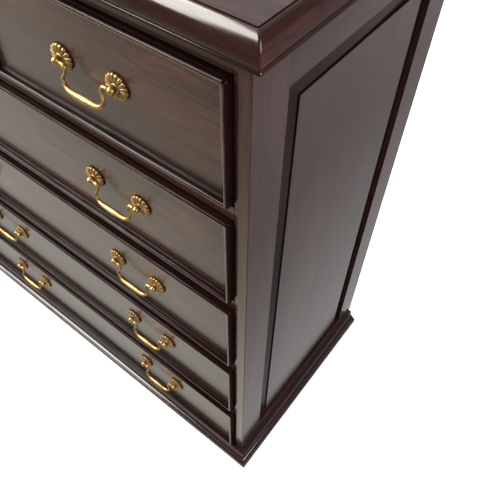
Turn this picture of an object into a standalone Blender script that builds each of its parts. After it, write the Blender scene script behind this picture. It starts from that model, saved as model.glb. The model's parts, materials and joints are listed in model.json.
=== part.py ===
# Chest of six drawers: two short drawers over four long ones, in a frame-and-panel case.
# Metres, +Z up. The front faces -Y, and the origin lies on the floor under the middle.

import math

import bmesh
import bpy
from mathutils import Matrix, Vector

# Case
case_width = 1.006
case_depth = 0.510
plinth_height = 0.051
opening_height = 0.1965
rail_height = 0.0240
top_rail_height = 0.0365
top_thickness = 0.034
top_overhang = 0.030
seat_gap = 0.0003

# Rows of drawers, counted from the top
row_count = 5

# Side frames and their fielded panels
side_thickness = 0.023
side_stile = 0.068
side_top_rail = 0.080
side_bottom_rail = 0.081
field_recess = 0.003
field_step = 0.0025
margin_width = 0.030
margin_recess = 0.010
tongue_thickness = 0.0055
tongue_length = 0.010

# Top edge moulding
edge_width = 0.016
edge_groove = 0.002
edge_foot = 0.002
edge_hollow = 0.0008
edge_fascia = 0.006
edge_round = 0.014

# Base moulding
base_reveal = 0.003
base_overhang = 0.024
base_round_height = 0.022
base_round_bulge = 0.003
base_quirk = 0.0025
base_fillet = 0.0035
base_cove = 0.0115
base_cap = 0.0045

# Inner frames, divider and back
front_rail_depth = 0.060
rear_rail_depth = 0.040
runner_width = 0.050
dust_panel = 0.006
divider_thickness = 0.024
back_thickness = 0.006

# Drawer fronts
front_gap = 0.0015
front_top_gap = 0.0030
front_thickness = 0.020
front_corner = 0.006
field_stand = 0.0005
bead_width = 0.009
bead_side = 0.0065
bead_stand = 0.012
quirk_width = 0.0015
quirk_stand = 0.0070
slope_width = 0.0080
sharp_corner = 0.0004

# Drawer boxes
box_wall = 0.012
box_bottom = 0.008
box_side_gap = 0.003
box_top_gap = 0.0265
box_end_gap = 0.020

# Handles
handle_height = 0.099
post_spacing = 0.102
rosette_radius = 0.0195
rosette_notch = 0.0013
rosette_edge = 0.0034
rosette_dome = 0.0056
rosette_dome_radius = 0.0080
petal_count = 16
post_radius = 0.0036
ball_radius = 0.0059
ball_stand = 0.0123
pin_radius = 0.0020
pin_depth = 0.0036
bore_radius = 0.0027
bore_end_gap = 0.0008
neck_radius = 0.0024
bar_radius = 0.0045
bail_drop = 0.0330
bail_half_width = 0.0380
bail_waist = 0.0333
elbow_radius = 0.0040
bar_half_length = 0.0180
waist_drop_share = 0.38
shoulder_drop_share = 0.60
bail_lean_degrees = 14.5

# Points nearer than this are one point
weld_distance = 0.0000001

# Levels and faces that follow from the sizes
row_pitch = opening_height + rail_height
openings_height = row_count * row_pitch - rail_height
case_height = plinth_height + openings_height + top_rail_height
base_height = plinth_height - base_reveal
front_face = -(case_depth - top_overhang) / 2
back_face = front_face + case_depth
half_width = case_width / 2
inner_half = half_width - side_thickness
back_inside = back_face - back_thickness
frame_end = back_inside - seat_gap
box_end = back_inside - box_end_gap


def opening_floor(row):
    """Height of the lower edge of a row's opening, row 1 at the top."""
    return plinth_height + (row_count - row) * row_pitch


def clear_scene():
    for old in list(bpy.data.objects):
        bpy.data.objects.remove(old, do_unlink=True)


def make_collection(name):
    collection = bpy.data.collections.new(name)
    bpy.context.scene.collection.children.link(collection)
    return collection


def make_material(name, colour, roughness, metallic):
    material = bpy.data.materials.new(name)
    material.use_nodes = True
    shader = material.node_tree.nodes["Principled BSDF"]
    shader.inputs["Base Color"].default_value = (*colour, 1.0)
    shader.inputs["Roughness"].default_value = roughness
    shader.inputs["Metallic"].default_value = metallic
    material.diffuse_color = (*colour, 1.0)
    return material


def finish_mesh(name, bm):
    """Close a bmesh into a mesh whose faces point out."""
    bmesh.ops.recalc_face_normals(bm, faces=bm.faces)
    mesh = bpy.data.meshes.new(name)
    bm.to_mesh(mesh)
    bm.free()
    return mesh


def block_mesh(name, low, high):
    """A plain board between two corners."""
    size = [b - a for a, b in zip(low, high)]
    middle = [(a + b) / 2 for a, b in zip(low, high)]
    bm = bmesh.new()
    place = Matrix.Translation(middle) @ Matrix.Diagonal((*size, 1.0))
    bmesh.ops.create_cube(bm, size=1.0, matrix=place)
    return finish_mesh(name, bm)


def loft_mesh(name, rings, closed=False):
    """Skin rings of points in order; a closed loft returns to its first ring."""
    bm = bmesh.new()
    loops = [[bm.verts.new(point) for point in ring] for ring in rings]
    count = len(rings[0])
    following = loops[1:] + ([loops[0]] if closed else [])
    for near, far in zip(loops, following):
        for i in range(count):
            j = (i + 1) % count
            bm.faces.new((near[i], near[j], far[j], far[i]))
    if not closed:
        bm.faces.new(loops[0])
        bm.faces.new(loops[-1])
    return finish_mesh(name, bm)


def evaluated_mesh(obj):
    """Take the evaluated mesh of a helper object and remove the helper."""
    graph = bpy.context.evaluated_depsgraph_get()
    mesh = bpy.data.meshes.new_from_object(obj.evaluated_get(graph))
    bm = bmesh.new()
    bm.from_mesh(mesh)
    bmesh.ops.remove_doubles(bm, verts=bm.verts, dist=weld_distance)
    bm.to_mesh(mesh)
    bm.free()
    bpy.data.objects.remove(obj, do_unlink=True)
    return mesh


def place(name, mesh, material, collection, parent=None, location=(0, 0, 0), turn=0.0):
    """Link a piece, under a parent where it has one; turn is about Y."""
    obj = bpy.data.objects.new(name, mesh)
    collection.objects.link(obj)
    obj.parent = parent
    obj.location = location
    obj.rotation_euler = (0, turn, 0)
    obj.data.materials.clear()
    obj.data.materials.append(material)
    return obj


def pivot(name, collection, location, parent=None):
    """An empty that stands on a joint's axis."""
    empty = bpy.data.objects.new(name, None)
    collection.objects.link(empty)
    empty.parent = parent
    empty.location = location
    empty.empty_display_size = ball_radius
    return empty


def cut(obj, cutter_mesh, cutters, operation="DIFFERENCE"):
    """Cut or join an object with a hidden mesh that shares its frame."""
    cutter = bpy.data.objects.new(obj.name + "_cutter", cutter_mesh)
    cutters.objects.link(cutter)
    cutter.parent = obj
    cutter.hide_render = True
    cutter.display_type = "WIRE"
    boolean = obj.modifiers.new("cut", "BOOLEAN")
    boolean.operation = operation
    boolean.solver = "EXACT"
    boolean.object = cutter
    return cutter


def arc(centre, radius_u, radius_v, start, end, steps):
    """Points on an ellipse's arc, angles in degrees."""
    points = []
    for i in range(steps + 1):
        angle = math.radians(start + (end - start) * i / steps)
        points.append((centre[0] + radius_u * math.cos(angle), centre[1] + radius_v * math.sin(angle)))
    return points


def moulding_mesh(name, profile, start, end, outward, mitres):
    """Run a profile of (outward, up) points from start to end, with mitred or square ends."""
    start, end, outward = Vector(start), Vector(end), Vector(outward)
    along = (end - start).normalized()
    rings = []
    for origin, lean in ((start, -mitres[0]), (end, mitres[1])):
        rings.append([origin + outward * u + along * (lean * u) + Vector((0, 0, v)) for u, v in profile])
    return loft_mesh(name, rings)


def side_ring(side, depth, bounds):
    """A rectangle of y and z bounds, a depth in from the case's side face."""
    x = side * (half_width - depth)
    y_low, y_high, z_low, z_high = bounds
    return [(x, y_low, z_low), (x, y_high, z_low), (x, y_high, z_high), (x, y_low, z_high)]


def grown(bounds, amount):
    y_low, y_high, z_low, z_high = bounds
    return (y_low - amount, y_high + amount, z_low - amount, z_high + amount)


def build_sides(parts, wood):
    """Glued frames of stiles and rails, grooved for a fielded panel."""
    outer = (front_face, back_face, 0, case_height)
    window = (front_face + side_stile, back_face - side_stile, side_bottom_rail, case_height - side_top_rail)
    groove = grown(window, tongue_length)
    groove_near = margin_recess
    groove_far = margin_recess + tongue_thickness + 2 * seat_gap
    tongue = grown(window, tongue_length - seat_gap)
    sight = grown(window, -seat_gap)
    field = grown(window, -margin_width)
    for label, side in (("left", -1), ("right", 1)):
        frame_rings = [
            side_ring(side, 0, outer),
            side_ring(side, 0, window),
            side_ring(side, groove_near, window),
            side_ring(side, groove_near, groove),
            side_ring(side, groove_far, groove),
            side_ring(side, groove_far, window),
            side_ring(side, side_thickness, window),
            side_ring(side, side_thickness, outer),
        ]
        place(label + "_side_frame", loft_mesh(label + "_side_frame", frame_rings, closed=True), wood, parts)
        near = margin_recess + seat_gap
        far = near + tongue_thickness
        panel_rings = [
            side_ring(side, field_recess, field),
            side_ring(side, field_recess + field_step, field),
            side_ring(side, near, sight),
            side_ring(side, near, tongue),
            side_ring(side, far, tongue),
        ]
        place(label + "_side_panel", loft_mesh(label + "_side_panel", panel_rings), wood, parts)


def top_profile():
    """Hollow fascia below, ovolo above, and a groove beside the top panel."""
    crown = edge_width - edge_round
    rise = top_thickness - edge_fascia
    middle = (edge_foot + edge_fascia) / 2
    points = [(0, 0), (edge_width, 0), (edge_width, edge_foot)]
    points.append((edge_width - edge_hollow, middle))
    points.append((edge_width, edge_fascia))
    points += arc((crown, edge_fascia), edge_round - edge_hollow, rise, 0, 90, 5)
    points += [(edge_groove, top_thickness), (edge_groove, top_thickness - edge_groove)]
    points.append((0, top_thickness - edge_groove))
    return points


def base_profile():
    """Bullnose, quirk, fillet, cove and cap, from the floor up."""
    nose = base_overhang - base_round_bulge
    points = [(0, 0), (nose, 0)]
    points += arc((nose, base_round_height / 2), base_round_bulge, base_round_height / 2, -54, 90, 4)
    fillet = nose - base_quirk
    fillet_top = base_round_height + base_fillet
    points += [(fillet, base_round_height), (fillet, fillet_top)]
    cap_low = base_height - base_cap
    points += arc((fillet, cap_low), base_cove, cap_low - fillet_top, -90, -180, 4)
    points += [(fillet - base_cove, base_height), (0, base_height)]
    return points


def build_mouldings(parts, wood):
    """Mitred lengths round the front and both sides, at the top edge and at the floor."""
    slip = seat_gap / 2
    top_level = case_height + seat_gap
    top_reach = top_overhang - edge_width
    top_lines = ("top_edge", top_profile(), top_level, top_reach)
    base_lines = ("base_moulding", base_profile(), 0, seat_gap)
    for stem, profile, level, reach in (top_lines, base_lines):
        side_x = half_width + reach
        front_y = front_face - reach
        front_start = (-side_x + slip, front_y, level)
        front_end = (side_x - slip, front_y, level)
        mesh = moulding_mesh(stem + "_front", profile, front_start, front_end, (0, -1, 0), (1, 1))
        place(stem + "_front", mesh, wood, parts)
        for label, side in (("left", -1), ("right", 1)):
            start = (side * side_x, front_y + slip, level)
            end = (side * side_x, back_face, level)
            mesh = moulding_mesh(stem + "_" + label, profile, start, end, (side, 0, 0), (1, 0))
            place(stem + "_" + label, mesh, wood, parts)
    slab_half = half_width + top_reach - seat_gap
    slab_front = front_face - top_reach + seat_gap
    low = (-slab_half, slab_front, top_level)
    high = (slab_half, back_face, top_level + top_thickness)
    place("top_panel", block_mesh("top_panel", low, high), wood, parts)


def build_inner_frame(name, low_z, high_z, bays, parts, cutters, wood):
    """Rails and runners joined in a flat frame, with a thin dust panel over each bay."""
    half = inner_half - seat_gap
    low = (-half, front_face, low_z)
    high = (half, frame_end, high_z)
    frame = place(name, block_mesh(name, low, high), wood, parts)
    clear = half - runner_width
    between = divider_thickness / 2 + runner_width
    spans = [(-clear, clear)] if bays == 1 else [(-clear, -between), (between, clear)]
    for left, right in spans:
        bay_low = (left, front_face + front_rail_depth, low_z - rail_height)
        bay_high = (right, frame_end - rear_rail_depth, high_z - dust_panel)
        cut(frame, block_mesh(name + "_bay", bay_low, bay_high), cutters)
    return frame


def build_carcase(parts, cutters, wood, inner_wood):
    """Inner frames between the rows, the divider of the top row, and the back."""
    upper_low = case_height - top_rail_height
    upper = build_inner_frame("upper_frame", upper_low, case_height, 2, parts, cutters, wood)
    half = divider_thickness / 2
    divider_low = (-half, front_face, opening_floor(1) + seat_gap)
    divider_high = (half, frame_end, case_height - top_rail_height / 2)
    cut(upper, block_mesh("divider", divider_low, divider_high), cutters, "UNION")
    for row in range(1, row_count):
        high_z = opening_floor(row)
        bays = 2 if row == 1 else 1
        build_inner_frame(f"rail_frame_{row}", high_z - rail_height, high_z, bays, parts, cutters, wood)
    build_inner_frame("bottom_frame", 0, plinth_height, 1, parts, cutters, wood)
    half = inner_half - seat_gap
    low = (-half, back_inside, 0)
    high = (half, back_face, case_height)
    place("back_panel", block_mesh("back_panel", low, high), inner_wood, parts)


def drawer_ring(half_x, half_z, inset, y):
    """A rectangle with cut corners, drawn in by an inset and standing at y."""
    x, z = half_x - inset, half_z - inset
    c = max(front_corner - inset, sharp_corner)
    k = c * (1 - math.sqrt(0.5))
    points = []
    for sx, sz in ((1, 1), (-1, 1), (-1, -1), (1, -1)):
        corner = [(sx * x, y, sz * (z - c)), (sx * (x - k), y, sz * (z - k)), (sx * (x - c), y, sz * z)]
        points += corner if sx * sz > 0 else corner[::-1]
    return points


def drawer_front_mesh(name, half_x, half_z):
    """A flat field inside a bead, a quirk and a sloping hollow, all cut from one board."""
    steps = [(0, front_thickness), (0, -bead_side)]
    rise = bead_stand - bead_side
    half_bead = bead_width / 2
    for u, v in arc((half_bead, bead_side), half_bead, rise, 150, 30, 4):
        steps.append((u, -v))
    steps.append((bead_width, -quirk_stand))
    steps.append((bead_width + quirk_width, -quirk_stand))
    slope_start = bead_width + quirk_width
    fall = quirk_stand - field_stand
    for u, v in arc((slope_start + slope_width, quirk_stand), slope_width, fall, 210, 270, 2):
        steps.append((u, -v))
    rings = [drawer_ring(half_x, half_z, inset, y) for inset, y in steps]
    return loft_mesh(name, rings)


def build_drawer(name, centre_x, half_x, row, collections, materials):
    """A moulded front and an open box behind it, both carried by an empty on the slide's line."""
    parts, cutters = collections
    wood, inner_wood = materials
    floor = opening_floor(row)
    half_z = (opening_height - front_gap - front_top_gap) / 2
    drop = (front_top_gap - front_gap) / 2
    slide = pivot(name + "_slide", parts, (centre_x, front_face, floor + opening_height / 2))
    front = drawer_front_mesh(name + "_front", half_x - front_gap, half_z)
    place(name + "_front", front, wood, parts, slide, (0, 0, -drop))
    low_z = seat_gap - opening_height / 2
    high_z = opening_height / 2 - box_top_gap
    start = front_thickness + seat_gap
    end = box_end - front_face
    box_half = half_x - box_side_gap
    box = block_mesh(name + "_box", (-box_half, start, low_z), (box_half, end, high_z))
    box = place(name + "_box", box, inner_wood, parts, slide)
    hollow_half = box_half - box_wall
    hollow_low = (-hollow_half, start - box_wall, low_z + box_bottom)
    hollow_high = (hollow_half, end - box_wall, high_z + box_wall)
    cut(box, block_mesh(name + "_hollow", hollow_low, hollow_high), cutters)
    return slide


def petal_ring(radius, notch, y):
    """A scalloped ring in the plane of the drawer front, two points to a petal."""
    points = []
    for i in range(2 * petal_count):
        angle = math.pi * i / petal_count
        r = radius - notch * (i % 2)
        points.append((r * math.cos(angle), y, r * math.sin(angle)))
    return points


def turned_mesh(name, profile, sides):
    """Turn a profile of (radius, y) points about the Y axis."""
    rings = []
    for radius, y in profile:
        ring = []
        for i in range(sides):
            angle = 2 * math.pi * (i + 0.5) / sides
            ring.append((radius * math.cos(angle), y, radius * math.sin(angle)))
        rings.append(ring)
    return loft_mesh(name, rings)


def rosette_mesh(cutters):
    """A fluted rosette with its ball-headed post, bored on one side for the bail's pin."""
    dome_notch = rosette_notch * rosette_dome_radius / rosette_radius
    rings = [
        petal_ring(rosette_radius, rosette_notch, 0),
        petal_ring(rosette_radius, rosette_notch, -rosette_edge),
        petal_ring(rosette_dome_radius, dome_notch, -rosette_dome),
    ]
    rosette = bpy.data.objects.new("rosette", loft_mesh("rosette", rings))
    cutters.objects.link(rosette)
    centre = -ball_stand + field_stand + seat_gap
    profile = [(post_radius, -rosette_edge / 2)]
    start = 180 - math.degrees(math.asin(post_radius / ball_radius))
    for u, v in arc((centre, 0), ball_radius, ball_radius, 180 - start, 165, 4):
        profile.append((v, u))
    post = cut(rosette, turned_mesh("post", profile, 10), cutters, "UNION")
    bore_length = ball_radius + bore_end_gap
    inner = ball_radius - pin_depth - bore_end_gap
    bm = bmesh.new()
    lie = Matrix.Rotation(math.pi / 2, 4, "Y")
    shift = Matrix.Translation((inner + bore_length / 2, centre, 0))
    bmesh.ops.create_cone(
        bm, cap_ends=True, segments=10, radius1=bore_radius, radius2=bore_radius,
        depth=bore_length, matrix=shift @ lie)
    bore = cut(rosette, finish_mesh("bore", bm), cutters)
    mesh = evaluated_mesh(rosette)
    for helper in (post, bore):
        bpy.data.objects.remove(helper, do_unlink=True)
    mesh.shade_smooth()
    mesh.set_sharp_from_angle(angle=math.radians(40))
    return mesh


def bail_path():
    """Half of the swan-neck bail, from the pin's end to the middle of the bar, as (x, z, radius)."""
    post = post_spacing / 2
    pin_end = post - ball_radius + pin_depth
    shoulder = post - ball_radius - seat_gap
    elbow = bail_waist + elbow_radius
    points = [(pin_end, 0, pin_radius), (shoulder, 0, pin_radius), (elbow, 0, neck_radius)]
    for u, v in arc((elbow, -elbow_radius), elbow_radius, elbow_radius, 135, 180, 1):
        points.append((u, v, neck_radius))
    waist_drop = waist_drop_share * bail_drop
    swell_drop = shoulder_drop_share * bail_drop
    points.append(((bail_waist + bail_half_width) / 2, -waist_drop, neck_radius))
    points.append((bail_half_width, -swell_drop, neck_radius))
    corner_u = bail_half_width - bar_half_length
    corner_v = bail_drop - swell_drop
    for u, v in arc((bar_half_length, -swell_drop), corner_u, corner_v, -30, -90, 2):
        share = (bail_half_width - u) / bail_half_width
        points.append((u, v, neck_radius + (bar_radius - neck_radius) * share))
    points.append((bar_half_length / 2, -bail_drop, bar_radius))
    return points


def bail_mesh(parts):
    """A round wire that swells along its bar, hung from its pins and leaning out from the front."""
    half = bail_path()
    lean = math.radians(bail_lean_degrees)
    whole = half + [(-x, z, r) for x, z, r in reversed(half)]
    curve = bpy.data.curves.new("bail", "CURVE")
    curve.dimensions = "3D"
    curve.bevel_depth = 1.0
    curve.bevel_resolution = 2
    curve.use_fill_caps = True
    curve.use_radius = True
    spline = curve.splines.new("POLY")
    spline.points.add(len(whole) - 1)
    for point, (x, z, radius) in zip(spline.points, whole):
        point.co = (x, z * math.sin(lean), z * math.cos(lean), 1)
        point.radius = radius
    helper = bpy.data.objects.new("bail", curve)
    parts.objects.link(helper)
    mesh = evaluated_mesh(helper)
    mesh.shade_smooth()
    mesh.set_sharp_from_angle(angle=math.radians(50))
    return mesh


def build_handle(name, slide, x, meshes, brass, parts):
    """Two rosettes and a bail that swings on the pins between them."""
    rosette, bail = meshes
    seat_y = -field_stand - seat_gap
    half = post_spacing / 2
    rise = handle_height - opening_height / 2
    place(name + "_rosette_a", rosette, brass, parts, slide, (x - half, seat_y, rise))
    place(name + "_rosette_b", rosette, brass, parts, slide, (x + half, seat_y, rise), turn=math.pi)
    axis = pivot(name + "_axis", parts, (x, -ball_stand, rise), slide)
    place(name + "_bail", bail, brass, parts, axis)


def build_chest():
    clear_scene()
    parts = make_collection("chest_of_drawers")
    cutters = make_collection("cutters")
    wood = make_material("mahogany_lacquer", (0.055, 0.030, 0.028), 0.28, 0.0)
    case_wood = make_material("mahogany_case", (0.060, 0.034, 0.032), 0.30, 0.0)
    inner_wood = make_material("drawer_lining", (0.42, 0.27, 0.15), 0.6, 0.0)
    brass = make_material("antique_brass", (0.58, 0.42, 0.20), 0.32, 1.0)
    build_sides(parts, case_wood)
    build_mouldings(parts, case_wood)
    build_carcase(parts, cutters, case_wood, inner_wood)
    meshes = (rosette_mesh(cutters), bail_mesh(parts))
    collections = (parts, cutters)
    materials = (wood, inner_wood)
    short_half = (inner_half - divider_thickness / 2) / 2
    short_centre = divider_thickness / 2 + short_half
    for label, side in (("left", -1), ("right", 1)):
        name = f"drawer_1_{label}"
        slide = build_drawer(name, side * short_centre, short_half, 1, collections, materials)
        build_handle(f"handle_1_{label}", slide, 0, meshes, brass, parts)
    for row in range(2, row_count + 1):
        slide = build_drawer(f"drawer_{row}", 0, inner_half, row, collections, materials)
        for label, side in (("left", -1), ("right", 1)):
            build_handle(f"handle_{row}_{label}", slide, side * short_centre, meshes, brass, parts)


build_chest()
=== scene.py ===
# %% [markdown]
# # A chest of six drawers in dark mahogany
# Two short drawers stand over four long ones in a frame-and-panel case, with swan-neck brass handles.
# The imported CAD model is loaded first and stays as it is. Every piece made below takes its place from
# a CAD node, stands for it, and rides on the same body, so that it moves with its drawer or handle.

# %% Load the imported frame
import json
import math

import bmesh
import bpy
from mathutils import Matrix, Vector

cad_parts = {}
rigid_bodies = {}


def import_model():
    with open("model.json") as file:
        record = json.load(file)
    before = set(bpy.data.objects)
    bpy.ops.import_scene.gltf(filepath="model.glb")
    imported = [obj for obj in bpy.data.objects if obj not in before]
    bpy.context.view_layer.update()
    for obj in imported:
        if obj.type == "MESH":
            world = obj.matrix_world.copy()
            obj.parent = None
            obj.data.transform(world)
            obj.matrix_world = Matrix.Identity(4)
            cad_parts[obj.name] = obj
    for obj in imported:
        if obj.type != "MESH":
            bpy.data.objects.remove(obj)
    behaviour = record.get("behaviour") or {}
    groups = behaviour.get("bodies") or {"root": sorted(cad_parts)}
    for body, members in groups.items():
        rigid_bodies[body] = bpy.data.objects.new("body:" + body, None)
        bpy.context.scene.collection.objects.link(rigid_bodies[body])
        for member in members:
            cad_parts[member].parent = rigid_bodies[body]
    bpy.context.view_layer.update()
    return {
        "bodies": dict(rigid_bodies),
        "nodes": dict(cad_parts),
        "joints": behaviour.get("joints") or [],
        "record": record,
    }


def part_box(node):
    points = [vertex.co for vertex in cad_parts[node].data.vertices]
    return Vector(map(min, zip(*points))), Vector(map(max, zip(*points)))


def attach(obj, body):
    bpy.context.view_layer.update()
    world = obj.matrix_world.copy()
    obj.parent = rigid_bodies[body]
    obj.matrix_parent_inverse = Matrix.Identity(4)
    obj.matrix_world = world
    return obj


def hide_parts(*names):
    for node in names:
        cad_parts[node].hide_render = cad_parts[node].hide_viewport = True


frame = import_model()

# %% [markdown]
# The photograph looks down on the front right corner from close by, from above the top. The camera's
# place and turn were worked out from the case's straight edges, so they are plain numbers here.

# %% Camera
camera_place = (0.76895, -0.60259, 1.45736)
camera_turn = (38.2298, -0.3539, 38.0717)
camera_lens = 41.874
sensor_width = 36


def add_object(name, data):
    """A new object with its data, linked to the scene."""
    made = bpy.data.objects.new(name, data)
    bpy.context.scene.collection.objects.link(made)
    return made


camera_data = bpy.data.cameras.new("camera")
camera_data.lens = camera_lens
camera_data.sensor_width = sensor_width
camera = add_object("camera", camera_data)
camera.location = camera_place
camera.rotation_euler = [math.radians(angle) for angle in camera_turn]
bpy.context.scene.camera = camera
bpy.context.scene.view_settings.view_transform = "Standard"
print("camera at", camera_place)

# %% [markdown]
# Shader maths reads best as ordinary sums. A wire wraps a socket, and the operators add Math nodes.
# Any other node comes from one method: its settings go in first, then the values or links of its
# sockets. The same two classes serve materials, the world and the Geometry Nodes trees.


# %% Wires and graphs
def between(operation, reflected=False):
    """An operator that puts a Math node between a wire and a value."""
    def operator(wire, other):
        first, second = (other, wire) if reflected else (wire, other)
        return wire.graph.maths(operation, first, second)
    return operator


class Wire:
    """A node's output that can stand in a sum."""

    def __init__(self, graph, made, socket):
        self.graph, self.made, self.socket = graph, made, socket

    def output(self, key):
        return Wire(self.graph, self.made, find_socket(self.made.outputs, key))

    __add__, __radd__ = between("ADD"), between("ADD", reflected=True)
    __sub__, __rsub__ = between("SUBTRACT"), between("SUBTRACT", reflected=True)
    __mul__, __rmul__ = between("MULTIPLY"), between("MULTIPLY", reflected=True)
    __truediv__, __pow__ = between("DIVIDE"), between("POWER")


def find_socket(sockets, key):
    """A socket by its number, its identifier or its name."""
    found = [socket for socket in sockets if socket.identifier == key]
    return found[0] if found else sockets[key]


class Graph:
    """A node tree and the ways of adding to it."""

    def __init__(self, tree):
        self.tree = tree

    def node(self, kind, settings=None, inputs=None, out=0):
        made = self.tree.nodes.new(kind)
        for name, value in (settings or {}).items():
            setattr(made, name, value)
        for key, value in (inputs or {}).items():
            socket = find_socket(made.inputs, key)
            if isinstance(value, Wire):
                self.tree.links.new(value.socket, socket)
            else:
                socket.default_value = value
        return Wire(self, made, find_socket(made.outputs, out)) if made.outputs else made

    def maths(self, operation, *terms):
        return self.node("ShaderNodeMath", {"operation": operation}, dict(enumerate(terms)))

    def mix_colour(self, share, first, second):
        inputs = {"Factor_Float": share, "A_Color": first, "B_Color": second}
        return self.node("ShaderNodeMix", {"data_type": "RGBA"}, inputs, "Result_Color")

    def xyz(self, x=0.0, y=0.0, z=0.0):
        return self.node("ShaderNodeCombineXYZ", None, {0: x, 1: y, 2: z})

    def parts(self, vector):
        """The x, y and z of a vector."""
        split = self.node("ShaderNodeSeparateXYZ", None, {"Vector": vector})
        return split, split.output(1), split.output(2)

    def object_place(self):
        """The point in its object's own coordinates, in metres."""
        return self.node("ShaderNodeTexCoord", out="Object")

    def attribute(self, name, out="Fac"):
        return self.node("ShaderNodeAttribute", {"attribute_name": name}, None, out)

    def bump(self, strength, distance, height):
        inputs = {"Strength": strength, "Distance": distance, "Height": height}
        return self.node("ShaderNodeBump", None, inputs)

    def surface(self, inputs):
        """A Principled shader straight to the material's output."""
        shader = self.node("ShaderNodeBsdfPrincipled", None, inputs)
        self.node("ShaderNodeOutputMaterial", None, {"Surface": shader})

    def noise(self, vector, scale, detail=2.0, roughness=0.5):
        place = self.node("ShaderNodeVectorMath", {"operation": "MULTIPLY"}, {0: vector, 1: scale})
        return self.node("ShaderNodeTexNoise", None, {
            "Vector": place, "Scale": 1.0, "Detail": detail, "Roughness": roughness})

    def ramp(self, share, low, high):
        """0 at low, 1 at high, and an even rise between them."""
        inputs = {"Value": share, "From Min": low, "From Max": high}
        return self.node("ShaderNodeMapRange", {"clamp": True}, inputs)


def fresh_graph(owner):
    """An empty graph for a material or a world."""
    owner.use_nodes = True
    owner.node_tree.nodes.clear()
    return Graph(owner.node_tree)


def new_material(name):
    material = bpy.data.materials.new(name)
    return material, fresh_graph(material)


print("wires and graphs are ready")

# %% [markdown]
# The studio is a pale floor under a pale sky, and the camera sees both as plain white. What lacquer
# and brass mirror is another matter: a room is bright near the chest's foot and dim further off, which
# gives the fronts their change of tone from top to bottom. A picture of a room could do that, but a
# few ramps are enough. Polished surfaces meet a floor that dims in two steps in front, along lines a
# little askew, and smoothly beside the chest, and a sky that is pale only behind and to the left.

# %% Light paths
floor_reach = 30.0
floor_level = 0.70
floor_lift = 0.78
sky_level = 0.35
white = (1.0, 1.0, 1.0, 1.0)


def seen_directly(graph):
    """1 for rays from the eye, and 1 for mirrored or refracted ones; light that spreads gets neither."""
    path = graph.node("ShaderNodeLightPath", out="Is Camera Ray")
    polished = path.output("Is Glossy Ray") + path.output("Is Transmission Ray")
    return path, graph.maths("MINIMUM", polished, 1.0)


print("the eye sees white; light comes from a floor of", floor_level, "and a sky of", sky_level)

# %% Mirrored floor
near_glow, room_glow, dark_glow = 1.18, 0.64, 0.10
room_span, dark_span = (0.93, 1.45), (1.60, 2.30)
near_tint, room_tint, tint_span = (1.0, 1.0, 0.90, 1.0), (1.0, 1.0, 0.74, 1.0), (0.70, 1.30)
askew, ahead_shift = 0.28, 0.40
side_line, side_blend = 0.53, 0.05
side_glow, side_fade, side_least = 0.54, 1.7, 0.10
outer_glow, outer_span = 0.36, (0.40, 0.72)

# Tint and strength of the floor as the polish shows it: pale at the foot, dimmer further off.
floor_material, graph = new_material("pale_floor")
x, y, _ = graph.parts(graph.object_place())
ahead = x * askew + ahead_shift - y
front = near_glow - graph.ramp(ahead, *room_span) * (near_glow - room_glow)
front = front - graph.ramp(ahead, *dark_span) * (room_glow - dark_glow)
reach = x - side_line
side = side_glow * graph.maths("EXPONENT", reach * -side_fade) + side_least
side = side + graph.ramp(reach, *outer_span) * outer_glow
beside = graph.ramp(reach, -side_blend, 0.0)
tint = graph.mix_colour(graph.ramp(ahead, *tint_span), near_tint, room_tint)
tint = graph.mix_colour(beside, tint, white)
strength = front + (side - front) * beside
image = graph.node("ShaderNodeEmission", None, {"Color": tint, "Strength": strength})
print("the mirrored floor dims from", near_glow, "at the foot to", dark_glow)

# %% Floor
def new_mesh(name, points, faces=()):
    mesh = bpy.data.meshes.new(name)
    mesh.from_pydata(points, [], faces)
    return mesh


paint = graph.node("ShaderNodeBsdfDiffuse", None, {"Color": (floor_level,) * 3 + (1.0,)})
eye, mirrored = seen_directly(graph)
lift = graph.node("ShaderNodeEmission", None, {"Color": white, "Strength": eye * floor_lift})
both = graph.node("ShaderNodeAddShader", None, {0: paint, 1: lift})
shown = graph.node("ShaderNodeMixShader", None, {0: mirrored, 1: both, 2: image})
graph.node("ShaderNodeOutputMaterial", None, {"Surface": shown})

corners = [(x * floor_reach, y * floor_reach, 0) for x, y in ((-1, -1), (1, -1), (1, 1), (-1, 1))]
floor = add_object("floor", new_mesh("floor", corners, [(0, 1, 2, 3)]))
floor.data.materials.append(floor_material)
print("floor reaches", floor_reach, "m each way")

# %% Sky
bright_side = (-0.60, 0.50, 0.62)
bright_span = (0.15, 0.95)
mirrored_dark = 0.07
mirrored_bright = 1.25

world = bpy.data.worlds.new("studio_sky")
graph = fresh_graph(world)
eye, mirrored = seen_directly(graph)
looking = graph.node("ShaderNodeTexCoord", None, None, "Generated")
facing = graph.node("ShaderNodeVectorMath", {"operation": "DOT_PRODUCT"},
                    {0: looking, 1: bright_side}, "Value")
image = mirrored_dark + graph.ramp(facing, *bright_span) * (mirrored_bright - mirrored_dark)
strength = sky_level * (1.0 - eye - mirrored) + eye + mirrored * image
sky = graph.node("ShaderNodeBackground", None, {"Color": white, "Strength": strength})
graph.node("ShaderNodeOutputWorld", None, {"Surface": sky})
bpy.context.scene.world = world
print("sky mirrored from", mirrored_dark, "to", mirrored_bright)

# %% [markdown]
# A wide window high on the left draws the long highlights along the mouldings and beads and the bright
# edges on the brass. A second, weaker lamp on the right lights the side and the moulding over it.

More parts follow.
